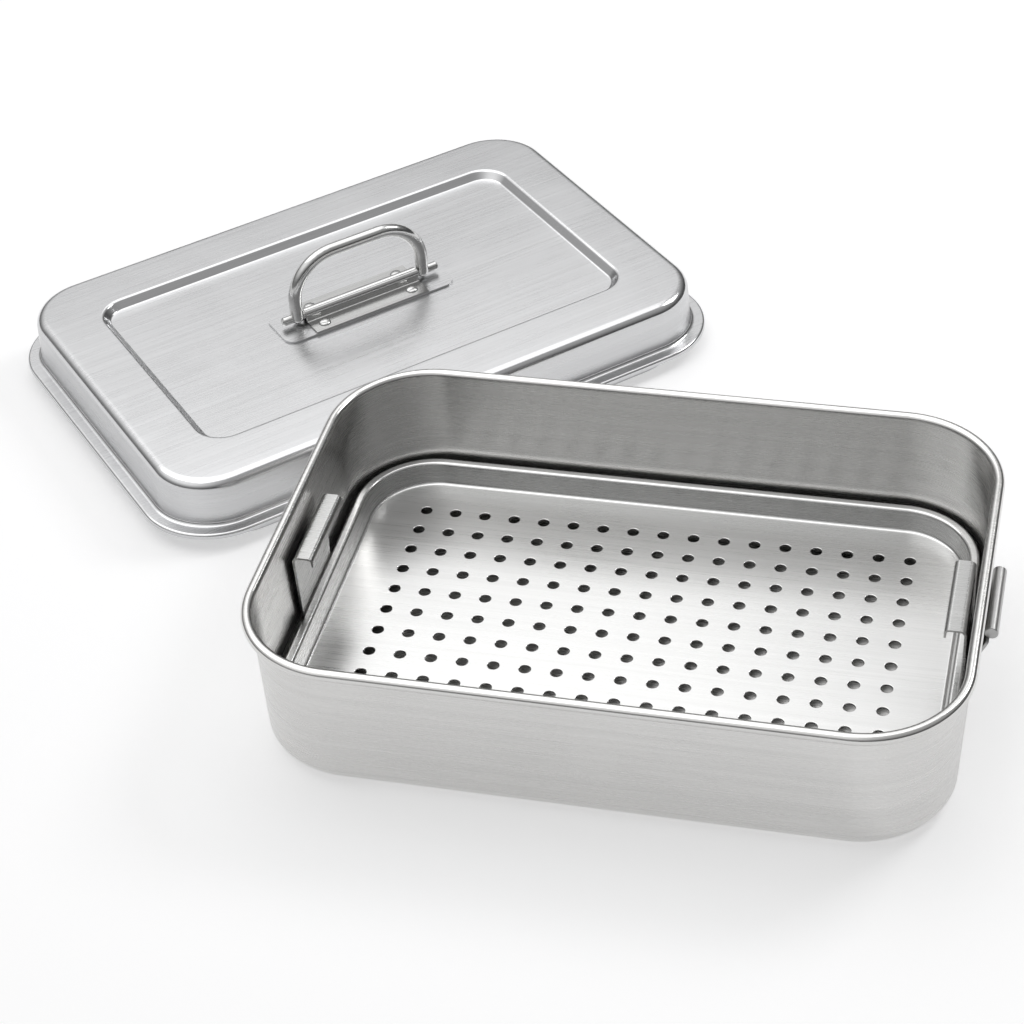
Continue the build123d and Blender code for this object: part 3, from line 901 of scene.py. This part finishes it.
def room():
    """The room: white to the camera, in the metal bright above and to the left."""
    world = bpy.data.worlds.new("pale_room")
    bpy.context.scene.world = world
    world.use_nodes = True
    tree = world.node_tree
    sky = tree.nodes["Background"]
    sky.inputs["Color"].default_value = (1, 1, 1, 1)
    direction = new_node(tree, "ShaderNodeTexCoord")
    parts = new_node(tree, "ShaderNodeSeparateXYZ")
    link(tree, direction.outputs["Generated"], parts.inputs[0])
    mirrored = new_node(tree, "ShaderNodeMath", operation="MULTIPLY")
    # How bright the metal sees the room, upwards and from left to right.
    for index, (axis, start, end, low, high) in enumerate((
        ("Z", 0.1, 0.8, 0.14, 0.85),
        ("X", -0.6, 0.6, 1.4, 0.5),
    )):
        ramp = new_node(
            tree, "ShaderNodeMapRange", interpolation_type="SMOOTHSTEP",
            inputs={"From Min": start, "From Max": end, "To Min": low, "To Max": high},
        )
        link(tree, parts.outputs[axis], ramp.inputs["Value"])
        link(tree, ramp.outputs[0], mirrored.inputs[index])
    # The metal sees that gradient, plain surfaces a dim room, the camera white.
    path = new_node(tree, "ShaderNodeLightPath")
    metal = new_node(tree, "ShaderNodeMix", data_type="FLOAT", inputs={2: 0.25})
    link(tree, path.outputs["Is Glossy Ray"], metal.inputs[0])
    link(tree, mirrored.outputs[0], metal.inputs[3])
    seen = new_node(tree, "ShaderNodeMath", operation="MAXIMUM")
    link(tree, path.outputs["Is Camera Ray"], seen.inputs[0])
    link(tree, path.outputs["Is Transmission Ray"], seen.inputs[1])
    level = new_node(tree, "ShaderNodeMix", data_type="FLOAT", inputs={3: 1.0})
    link(tree, seen.outputs[0], level.inputs[0])
    link(tree, metal.outputs[0], level.inputs[2])
    link(tree, level.outputs[0], sky.inputs["Strength"])


room()


def soft_lamp(name, place, aim, size, power):
    """A square lamp that looks at a point, in metres and watts."""
    lamp = bpy.data.lights.new(name, "AREA")
    lamp.shape = "SQUARE"
    lamp.size = size
    lamp.energy = power
    holder = bpy.data.objects.new(name, lamp)
    bpy.context.scene.collection.objects.link(holder)
    holder.location = place
    toward = Vector(aim) - Vector(place)
    holder.rotation_euler = toward.to_track_quat("-Z", "Y").to_euler()


soft_lamp(
    "overhead_lamp", place=(-0.5, 0.5, 2.0), aim=(-0.05, 0.05, 0), size=2.6, power=21.0
)
soft_lamp("back_lamp", place=(0.9, 1.0, 1.3), aim=(-0.1, 0.1, 0), size=0.6, power=6.5)


def photo_camera(yaw, pitch, roll, place, lens):
    """The camera that took the photograph, from its fitted angles."""
    ahead = Vector((sin(yaw) * cos(pitch), cos(yaw) * cos(pitch), -sin(pitch)))
    level = Vector((cos(yaw), -sin(yaw), 0))
    down = ahead.cross(level)
    right = cos(roll) * level + sin(roll) * down
    below = cos(roll) * down - sin(roll) * level
    data = bpy.data.cameras.new("photo_camera")
    data.lens = lens
    data.sensor_width = 36.0
    data.clip_start = 0.01
    camera = bpy.data.objects.new("photo_camera", data)
    bpy.context.scene.collection.objects.link(camera)
    turned = Matrix((right, -below, -ahead)).transposed()
    camera.matrix_world = Matrix.Translation(place) @ turned.to_4x4()
    bpy.context.scene.camera = camera


photo_camera(
    yaw=radians(-16.237), pitch=radians(39.124), roll=radians(4.444),
    place=Vector((0.186708, -0.815492, 0.765005)), lens=90.08,
)
bpy.context.scene.view_settings.view_transform = "Standard"
